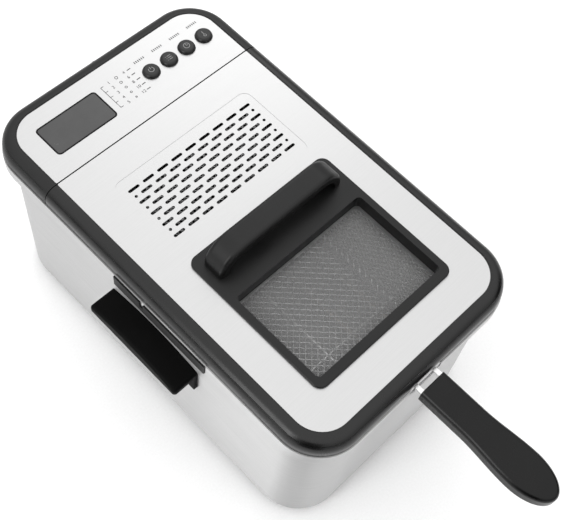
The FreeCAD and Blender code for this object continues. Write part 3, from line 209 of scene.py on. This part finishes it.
# ---- Base, feet and carrying grips ----
# Injection-moulded black polypropylene off a spark-eroded tool, so it is matt and finely pitted, like the
# control unit's housing, the collar inserts and the cord gland.  The feet are soft rubber.
def dress(material, *nodes):
    """Give this finish to these CAD nodes."""
    for name in nodes:
        for material_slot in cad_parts[name].material_slots:
            material_slot.material = material


def moulded(name, dark, light, roughness, grain_mm, strength, specular=0.5):
    """Moulded plastic: pits of the tool's grain size, and patches of gloss that differ a little."""
    material, shader = finish_of(name, Specular_IOR_Level=specular, IOR=1.49)
    patches = noise(material, 35.0, 4.0)
    tint(material, shader, patches, dark, light)
    vary(material, shader, "Roughness", patches, roughness - 0.05, roughness + 0.05)
    relief(material, shader, noise(material, grain_mm), strength, 0.05)
    return material


matt_black = moulded("matt_black_polypropylene", "#030303", "#060606", 0.6, 0.6, 0.25, 0.08)
dress(matt_black, "side_grip_left", "side_grip_right", "base_plate", "control_housing", "cord_gland")
insert_black = moulded("insert_polypropylene", "#080808", "#0e0e0e", 0.45, 0.5, 0.15, 0.25)
dress(insert_black, "collar_insert_left", "collar_insert_right")
rubber = moulded("soft_black_rubber", "#0e0e0e", "#161616", 0.80, 1.0, 0.3, 0.3)
dress(rubber, "rubber_feet")


# ---- Steel shell and collar ----
# Stainless sheet, belt-brushed level round the body before it is bent, so its fine scratches run level and
# spread reflections up and down.
def brushed(name, dark, light, roughness, grain_mm, stroke, bite=0.10, anisotropy=0.0):
    """Brushed steel: scratches are noise grain_mm wide, drawn out by stroke along the belt's way."""
    material, shader = finish_of(name, Metallic=1.0, Anisotropic=anisotropy, Anisotropic_Rotation=0.25)
    level = add(material, "ShaderNodeTangent", direction_type="RADIAL", axis="Z")
    material.node_tree.links.new(level.outputs["Tangent"], shader.inputs["Tangent"])
    scratches = noise(material, grain_mm, 3.0, stroke)
    tint(material, shader, scratches, dark, light)
    vary(material, shader, "Roughness", scratches, roughness - 0.05, roughness + 0.07)
    relief(material, shader, scratches, bite, 0.02)
    return material


LEVEL = (90, 90, 1)
wall_steel = brushed("brushed_stainless_wall", "#b9b9b9", "#cacaca", 0.46, 0.5, LEVEL, anisotropy=0.85)
dress(wall_steel, "body_shell", "rim_collar")


# ---- Oil pot, lid liner, grille and bracket ----
# Stainless steel left with its satin rolled surface.  The deep-drawn pot's grey is painted darker, as painted
# shade for the dim inside of the closed fryer.
ROLLED = (12, 12, 1)
pot_steel = brushed("satin_rolled_stainless", "#b4b4b4", "#cccccc", 0.38, 0.8, ROLLED)
dress(pot_steel, "lid_liner", "filter_grille", "element_bracket")
# Painted shade: the pot's darker grey stands for the dim inside of the closed fryer, not a colour of the
# steel.
shaded_pot_steel = brushed("painted_shade_pot_stainless", "#5a5a5a", "#6c6c6c", 0.45, 0.8, ROLLED)
dress(shaded_pot_steel, "oil_pot")


# ---- Heating element and sensor ----
# Stainless tubes, tinted brown in patches by their own heat.
heated, heated_shader = finish_of("heat_tinted_stainless", Metallic=1.0)
heat_patches = noise(heated, 18.0, 4.0)
tint(heated, heated_shader, heat_patches, "#5e5148", "#8b8680")
vary(heated, heated_shader, "Roughness", heat_patches, 0.32, 0.5)
relief(heated, heated_shader, noise(heated, 0.6), 0.1, 0.02)
dress(heated, "heating_element", "thermostat_sensor")


# ---- Screws ----
# Zinc-plated steel screws, a little dulled.
zinc, zinc_shader = finish_of("zinc_plated_steel", Metallic=1.0)
zinc_spots = noise(zinc, 1.2, 3.0)
tint(zinc, zinc_shader, zinc_spots, "#9a9da0", "#bcbfc2")
vary(zinc, zinc_shader, "Roughness", zinc_spots, 0.25, 0.42)
relief(zinc, zinc_shader, noise(zinc, 0.3), 0.1, 0.01)
dress(zinc, "foot_screws", "base_screws", "side_grip_screws", "lid_screws", "lid_handle_screws", "grip_screw")


# ---- Electrical parts inside the control unit ----
# Fibreglass boards under green solder mask, a sealed blue relay, varnished transformer and grey nylon parts.
board_green = moulded("solder_mask_fibreglass", "#123a22", "#1b4a2d", 0.35, 0.9, 0.2)
dress(board_green, "display_board", "power_board")
relay_blue = moulded("sealed_relay_case", "#1d3566", "#264277", 0.35, 0.7, 0.1)
dress(relay_blue, "relay")
varnish = moulded("varnished_core_iron", "#3a2a20", "#4d3a2c", 0.4, 0.5, 0.6)
dress(varnish, "transformer")
grey_nylon = moulded("grey_nylon", "#2c2c2c", "#3a3a3a", 0.45, 0.6, 0.15)
dress(grey_nylon, "button_switches", "safety_cutout", "terminal_block")


# ---- Basket ----
# Plain-woven nickel-plated wire, set corner to corner across the basket.  Its edge is crimped into a hoop of
# thick wire, and three thick ribs are welded under it.  The weave stands for the CAD's thin closed wall.
plated, plated_shader = finish_of("nickel_plated_wire", Metallic=1.0)
plating = noise(plated, 3.0, 3.0)
tint(plated, plated_shader, plating, "#dcdcdc", "#f2f2f2")
vary(plated, plated_shader, "Roughness", plating, 0.22, 0.36)
relief(plated, plated_shader, noise(plated, 0.4), 0.08, 0.01)
dress(plated, "basket_frame", "handle_bracket", "handle_wires")

WIRE = 0.55 * MM    # a wire's radius
PITCH = 5.5 * MM    # from one wire to the next
SIDES = 6           # of a wire's section
CORNER = 20 * MM    # radius of the basket's upright corners
BEND = 6 * MM       # radius of the bend from floor to wall
HOOP_GAP = 3 * MM   # from the last crossing to the mesh's upper edge
basket_low, basket_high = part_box("basket_mesh")
basket_middle = (basket_high.y + basket_low.y) / 2
basket_half = (basket_high.y - basket_low.y) / 2


def weave(place, out, along, up, crossing, wraps):
    """Two families of wires: each steps from one crossing to the next corner to corner, over one and under
    the next.  A ring of SIDES points stands at every crossing of each family, joined along the wire."""
    m, n = np.indices(crossing.shape)
    number = np.cumsum(crossing).reshape(crossing.shape) - 1
    points, faces, start = [], [], 0
    for step in (1, -1):
        way = (along + step * up) / math.sqrt(2)
        side = np.cross(out, way)
        lift = step * WIRE * np.where(m % 2 == 0, 1.0, -1.0)
        k = np.arange(SIDES)
        turn = k * math.tau / SIDES
        spoke = np.cos(turn)[:, None] * out[:, :, None] + np.sin(turn)[:, None] * side[:, :, None]
        ring = (place + lift[..., None] * out)[:, :, None] + WIRE * spoke
        points.append(ring[crossing].reshape(-1, 3))
        next_m = (m + 1) % m.shape[0] if wraps else m + 1
        fits = (next_m < m.shape[0]) & (n + step >= 0) & (n + step < m.shape[1]) & crossing
        fits[fits] = crossing[next_m[fits], (n + step)[fits]]
        here, there = number[fits], number[next_m[fits], (n + step)[fits]]
        near, far, after = here[:, None] * SIDES, there[:, None] * SIDES, (k + 1) % SIDES
        quad = np.stack([near + k, far + k, far + after, near + after], -1)
        faces += (quad.reshape(-1, 4) + start).tolist()
        total = int(crossing.sum())
        first = np.setdiff1d(np.arange(total), there)[:, None] * SIDES
        last = np.setdiff1d(np.arange(total), here)[:, None] * SIDES
        faces += (first + k + start).tolist() + (last + k[::-1] + start).tolist()
        start += total * SIDES
    return np.concatenate(points), faces


def basket_floor():
    """Flat grid of crossings inside a rounded rectangle: a crossing stays if its distance outside the inner
    rectangle of the corners' centres is under the corner radius."""
    inset = BEND + 2 * WIRE
    half_x, half_y = basket_high.x - inset, basket_half - inset
    gap = PITCH / math.sqrt(2)
    count_x, count_y = int(half_x / gap), int(half_y / gap)
    m, n = np.indices((2 * count_x + 1, 2 * count_y + 1))
    x, y = (m - count_x) * gap, (n - count_y) * gap
    radius = CORNER - inset
    outside = np.hypot(np.maximum(abs(x) - half_x + radius, 0), np.maximum(abs(y) - half_y + radius, 0))
    place = np.stack([x, y + basket_middle, np.full(x.shape, basket_low.z + 2 * WIRE)], -1)
    flat = np.ones(x.shape)[..., None]
    keep = ((m + n) % 2 == 0) & (outside < radius)
    return weave(place, flat * (0, 0, -1.0), flat * (1.0, 0, 0), flat * (0, 1.0, 0), keep, False)


def basket_walls():
    """Grid of crossings wound round the basket: each level ring follows a rounded rectangle, whose corners'
    centre and facing both change evenly with the way gone, and the profile turns a quarter circle from the
    floor to the upright wall."""
    radius = CORNER - 2 * WIRE
    wide = basket_high.x - CORNER
    long = basket_half - CORNER
    quarter = radius * math.pi / 2
    knots = np.cumsum([0, 2 * wide, quarter, 2 * long, quarter, 2 * wide, quarter, 2 * long, quarter])
    steps = 2 * round(knots[-1] / (PITCH * math.sqrt(2)))
    gap = knots[-1] / steps
    bend_way = BEND * math.pi / 2
    height = basket_high.z - basket_low.z - BEND - HOOP_GAP
    rows = round((bend_way + height) / gap)
    m, n = np.indices((steps, rows + 1))
    gone, risen = m * gap, n * (bend_way + height) / rows
    centre_x = np.interp(gone, knots, wide * np.array([-1, 1, 1, 1, 1, -1, -1, -1, -1]))
    centre_y = np.interp(gone, knots, long * np.array([-1, -1, -1, 1, 1, 1, 1, -1, -1]))
    face = np.interp(gone, knots, np.radians([-90, -90, 0, 0, 90, 90, 180, 180, 270]))
    tip = np.minimum(risen / BEND, math.pi / 2)
    reach = radius - BEND * (1 - np.sin(tip))
    z = basket_low.z + 2 * WIRE + BEND * (1 - np.cos(tip)) + np.maximum(risen - bend_way, 0)
    x, y = centre_x + reach * np.cos(face), basket_middle + centre_y + reach * np.sin(face)
    place = np.stack([x, y, z], -1)
    out = np.stack([np.sin(tip) * np.cos(face), np.sin(tip) * np.sin(face), -np.cos(tip)], -1)
    along = np.stack([-np.sin(face), np.cos(face), np.zeros(face.shape)], -1)
    up = np.stack([np.cos(tip) * np.cos(face), np.cos(tip) * np.sin(face), np.sin(tip)], -1)
    return weave(place, out, along, up, (m + n) % 2 == 0, True)


floor_weave = mesh_piece("basket_floor_weave", *basket_floor())
wall_weave = mesh_piece("basket_wall_weave", *basket_walls())
for piece in (floor_weave, wall_weave):
    piece.data.materials.append(plated)
    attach(piece, "basket")
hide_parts("basket_mesh")


# ---- Basket grip ----
# Two polished phenolic shells, black all through, closed on the two flat wires with one screw from below.
phenolic = moulded("polished_black_phenolic", "#040404", "#090909", 0.27, 0.8, 0.06, 0.25)
dress(phenolic, "grip_upper", "grip_lower")


# ---- Control unit's surround and top plate ----
# The surround is satin polypropylene, and the plate is the same brushed sheet as the lid's, its scratches
# running from side to side through both.
surround = moulded("satin_polypropylene", "#111111", "#191919", 0.45, 0.5, 0.15, 0.35)
dress(surround, "control_cover")
ACROSS = (90, 1, 90)
plate_steel = brushed("brushed_stainless_plate", "#c0c0c0", "#c7c7c7", 0.38, 0.4, ACROSS, 0.06)
dress(plate_steel, "lid_plate", "control_plate")


# ---- Display ----
# A tinted polycarbonate window over an unlit liquid-crystal panel, printed with a dark line round its edge.
tinted = moulded("tinted_polycarbonate", "#404040", "#484848", 0.25, 3.0, 0.02, 0.4)
dress(tinted, "display_window")
crystal = moulded("unlit_crystal_panel", "#2e3230", "#383c3a", 0.3, 1.0, 0.05)
dress(crystal, "display_panel")
ink = moulded("dark_screen_ink", "#040404", "#080808", 0.6, 0.8, 0.1, 0.2)


def ribbon(path, width, closed=False):
    """Flat strip of constant width in mm along a path: each point goes half the width to each side, at right
    angles to the mean of its two runs."""
    path = np.asarray(path, float)
    before = np.roll(path, 1, 0) if closed else np.concatenate([2 * path[:1] - path[1:2], path[:-1]])
    after = np.roll(path, -1, 0) if closed else np.concatenate([path[1:], 2 * path[-1:] - path[-2:-1]])
    run = after - before
    run /= np.linalg.norm(run, axis=1)[:, None]
    side = np.stack([-run[:, 1], run[:, 0]], -1) * width / 2
    points = np.concatenate([path + side, path - side])
    total = len(path)
    here = np.arange(total if closed else total - 1)
    there = (here + 1) % total
    return points, np.stack([here + total, there + total, there, here], -1).tolist()


def printed(name, parts, z_mm, material, body):
    """One flat print from (points, faces) parts in mm, z_mm above the plate."""
    points, faces, start = [], [], 0
    for part_points, part_faces in parts:
        points.append(part_points)
        faces += [[corner + start for corner in face] for face in part_faces]
        start += len(part_points)
    flat = np.concatenate(points)
    origin = on_deck(0, 0, z_mm)
    place = np.column_stack([flat * MM, np.zeros(len(flat))]) + np.array(origin)
    piece = mesh_piece(name, place, faces, False)
    piece.data.materials.append(material)
    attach(piece, body)


def rounded(left, right, front, rear, radius, steps=8):
    """Rounded rectangle in mm: four quarter circles round the corners' centres, joined in turn."""
    turn = np.linspace(0, math.pi / 2, steps)
    corners = [(right - radius, rear - radius, 0), (left + radius, rear - radius, 1),
               (left + radius, front + radius, 2), (right - radius, front + radius, 3)]
    arcs = []
    for x, y, quarter in corners:
        facing = turn + quarter * math.pi / 2
        arcs.append(np.stack([x + radius * np.cos(facing), y + radius * np.sin(facing)], -1))
    return np.concatenate(arcs)


lens_low, lens_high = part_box("display_window")
EDGE_WIDTH = 1.2
EDGE_RADIUS = 3.0
half_edge = EDGE_WIDTH / 2
edge = rounded(lens_low.x / MM + half_edge, lens_high.x / MM - half_edge,
               (lens_low.y - plate_front) / MM + half_edge, (lens_high.y - plate_front) / MM - half_edge,
               EDGE_RADIUS)
printed("display_edge_print", [ribbon(edge, EDGE_WIDTH, True)], 0.04, ink, "control_unit")


# ---- Printed legend ----
# A cooking guide screen-printed in grey on the plate beside the display: a bracket with five ticks, the
# numbers 1 to 5, a plain ring for each, a second number and a dash, and short strokes behind each button.
grey_ink = moulded("grey_screen_ink", "#2e2e2e", "#3a3a3a", 0.6, 0.8, 0.1, 0.2)
LINE = 0.5
DASH = 0.8
ROWS = (357.5, 351.0, 344.2, 337.3, 330.5)
BRACKET, TICK_END, FIRST_NUMBER, RING, SECOND_NUMBER = -17.5, -14.6, -8.5, 0.0, 8.5
DASH_SPAN = (12.0, 16.0)
LABEL_ROW = (358.2, 360.6)


def digits(text, x, y, size):
    """A number's flat outline from the built-in typeface, centred on x, y, in mm."""
    curve = bpy.data.curves.new("number", "FONT")
    curve.body, curve.size, curve.align_x, curve.align_y = text, size, "CENTER", "CENTER"
    holder = bpy.data.objects.new("number", curve)
    bpy.context.collection.objects.link(holder)
    bpy.context.view_layer.update()
    mesh = bpy.data.meshes.new_from_object(holder.evaluated_get(bpy.context.evaluated_depsgraph_get()))
    flat = np.zeros(len(mesh.vertices) * 3)
    mesh.vertices.foreach_get("co", flat)
    faces = [list(polygon.vertices) for polygon in mesh.polygons]
    bpy.data.objects.remove(holder)
    bpy.data.meshes.remove(mesh)
    return flat.reshape(-1, 3)[:, :2] + (x, y), faces


def circle(x, y, radius, start=0.0, end=360.0, steps=25):
    """Points on an arc in mm, from start to end in degrees."""
    turn = np.radians(np.linspace(start, end, steps))
    return np.stack([x + radius * np.cos(turn), y + radius * np.sin(turn)], -1)


legend = [ribbon([(BRACKET, ROWS[-1]), (BRACKET, ROWS[0])], LINE)]
for number, (row, minutes) in enumerate(zip(ROWS, ("4", "6", "8", "10", "12")), 1):
    legend.append(ribbon([(BRACKET, row), (TICK_END, row)], LINE))
    legend.append(digits(str(number), FIRST_NUMBER, row, 4.6))
    legend.append(ribbon(circle(RING, row, 1.5 - 0.15 * number)[:-1], LINE, True))
    legend.append(digits(minutes, SECOND_NUMBER, row, 4.4))
    legend.append(ribbon([(x, row) for x in DASH_SPAN], DASH))
keys = ("power", "mode", "time", "temperature")
key_boxes = {key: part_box("button_" + key) for key in keys}
key_x = {key: (low.x + high.x) / 2 / MM for key, (low, high) in key_boxes.items()}
for key in keys:
    for stroke in np.linspace(-5.0, 5.0, 6):
        legend.append(ribbon([(key_x[key] + stroke, y) for y in LABEL_ROW], DASH))
printed("panel_legend", legend, 0.05, grey_ink, "control_unit")


# ---- Buttons ----
# Satin keys moulded in black and rounded over at the edge, each with one plain pad-printed mark on its flat
# crown.  A mark rides on its own key, so it goes down with it.
key_plastic = moulded("satin_key_plastic", "#0d0d0d", "#151515", 0.30, 0.6, 0.08, 0.4)
pale_ink = moulded("pale_pad_ink", "#7c7c7c", "#8c8c8c", 0.5, 0.6, 0.1, 0.3)
dress(key_plastic, *("button_" + key for key in keys))
key_row = (key_boxes["power"][0].y + key_boxes["power"][1].y) / 2 / MM - plate_front / MM
crown = (key_boxes["power"][1].z - deck) / MM + 0.03
MARK_WIDTH = 0.6


def mark(key):
    """The key's mark, as strips in mm round the key's middle."""
    x, y = key_x[key], key_row
    if key == "power":
        paths = [circle(x, y, 2.5, 125, 415), [(x, y + 0.6), (x, y + 3.2)]]
    elif key == "mode":
        paths = [[(x - 1.0, y + s), (x + 2.8, y + s)] for s in (-2, 0, 2)]
        paths += [[(x - 2.8, y + s), (x - 2.0, y + s)] for s in (-2, 0, 2)]
    elif key == "time":
        paths = [circle(x, y, 2.8, 0, 360), [(x, y - 0.2), (x, y + 1.9)], [(x - 0.2, y), (x + 1.5, y)]]
    else:
        paths = [circle(x, y - 1.9, 1.2, 100, 440), [(x, y - 0.6), (x, y + 3.2)]]
    return [ribbon(path, MARK_WIDTH) for path in paths]


for key in keys:
    printed("mark_" + key, mark(key), crown, pale_ink, key + "_key")


# ---- Lid frame ----
# One semi-gloss polypropylene moulding round the steel plate.  It is handled more than the control unit's
# surround, so it is shinier.
frame_plastic = moulded("semi_gloss_polypropylene", "#0c0c0c", "#121212", 0.28, 0.5, 0.06, 0.4)
dress(frame_plastic, "lid_frame")


# ---- Window bezel and lid handle ----
# Both are glass-filled nylon with a fine leather-like grain that hides greasy fingerprints.
nylon = moulded("textured_black_nylon", "#0c0c0c", "#131313", 0.36, 0.45, 0.15, 0.32)
dress(nylon, "window_bezel", "lid_handle")


# ---- Window glass and gasket ----
# Toughened glass with a light film of grease, bedded on a soft black silicone ring.
glass, glass_shader = finish_of("greasy_toughened_glass", Base_Color=linear("#a8a8a8"), IOR=1.5,
                                Alpha=0.20)
vary(glass, glass_shader, "Roughness", noise(glass, 12.0, 4.0), 0.08, 0.22)
relief(glass, glass_shader, noise(glass, 30.0), 0.04, 0.05)
dress(glass, "window_glass")
silicone = moulded("black_silicone", "#181818", "#202020", 0.7, 0.8, 0.2, 0.3)
dress(silicone, "window_gasket")


# ---- Grease filter ----
# A pack of aluminium wire gauze behind the vents, its wires crossing corner to corner.  A wave texture's
# bands repeat every 2 pi / 20 of its scaled length, which gives its scale from the wires' pitch.
gauze, gauze_shader = finish_of("aluminium_wire_gauze", Metallic=0.9, Roughness=0.35)
GAUZE_PITCH = 3.553 * MM
gauze_place = add(gauze, "ShaderNodeTexCoord")
gauze_wires = []
for angle in (45, -45):
    turned = add(gauze, "ShaderNodeMapping", {"Vector": gauze_place.outputs["Object"],
                                              "Rotation": (0, 0, math.radians(angle))})
    wave = add(gauze, "ShaderNodeTexWave", {"Vector": turned.outputs["Vector"], "Distortion": 1.5,
                                            "Scale": math.tau / (20 * GAUZE_PITCH)}, wave_type="BANDS")
    gauze_wires.append(wave.outputs["Fac"])
higher = add(gauze, "ShaderNodeMath", {0: gauze_wires[0], 1: gauze_wires[1]}, operation="MAXIMUM")
# Painted shade: between the wires the colour falls to near-black for the shade deep in the pack; the wires
# themselves are the grey.
tint(gauze, gauze_shader, higher.outputs[0], "#0c0c0c", "#8c8c8c", (0.60, 0.98))
relief(gauze, gauze_shader, higher.outputs[0], 0.8, 0.4)
dress(gauze, "grease_filter")
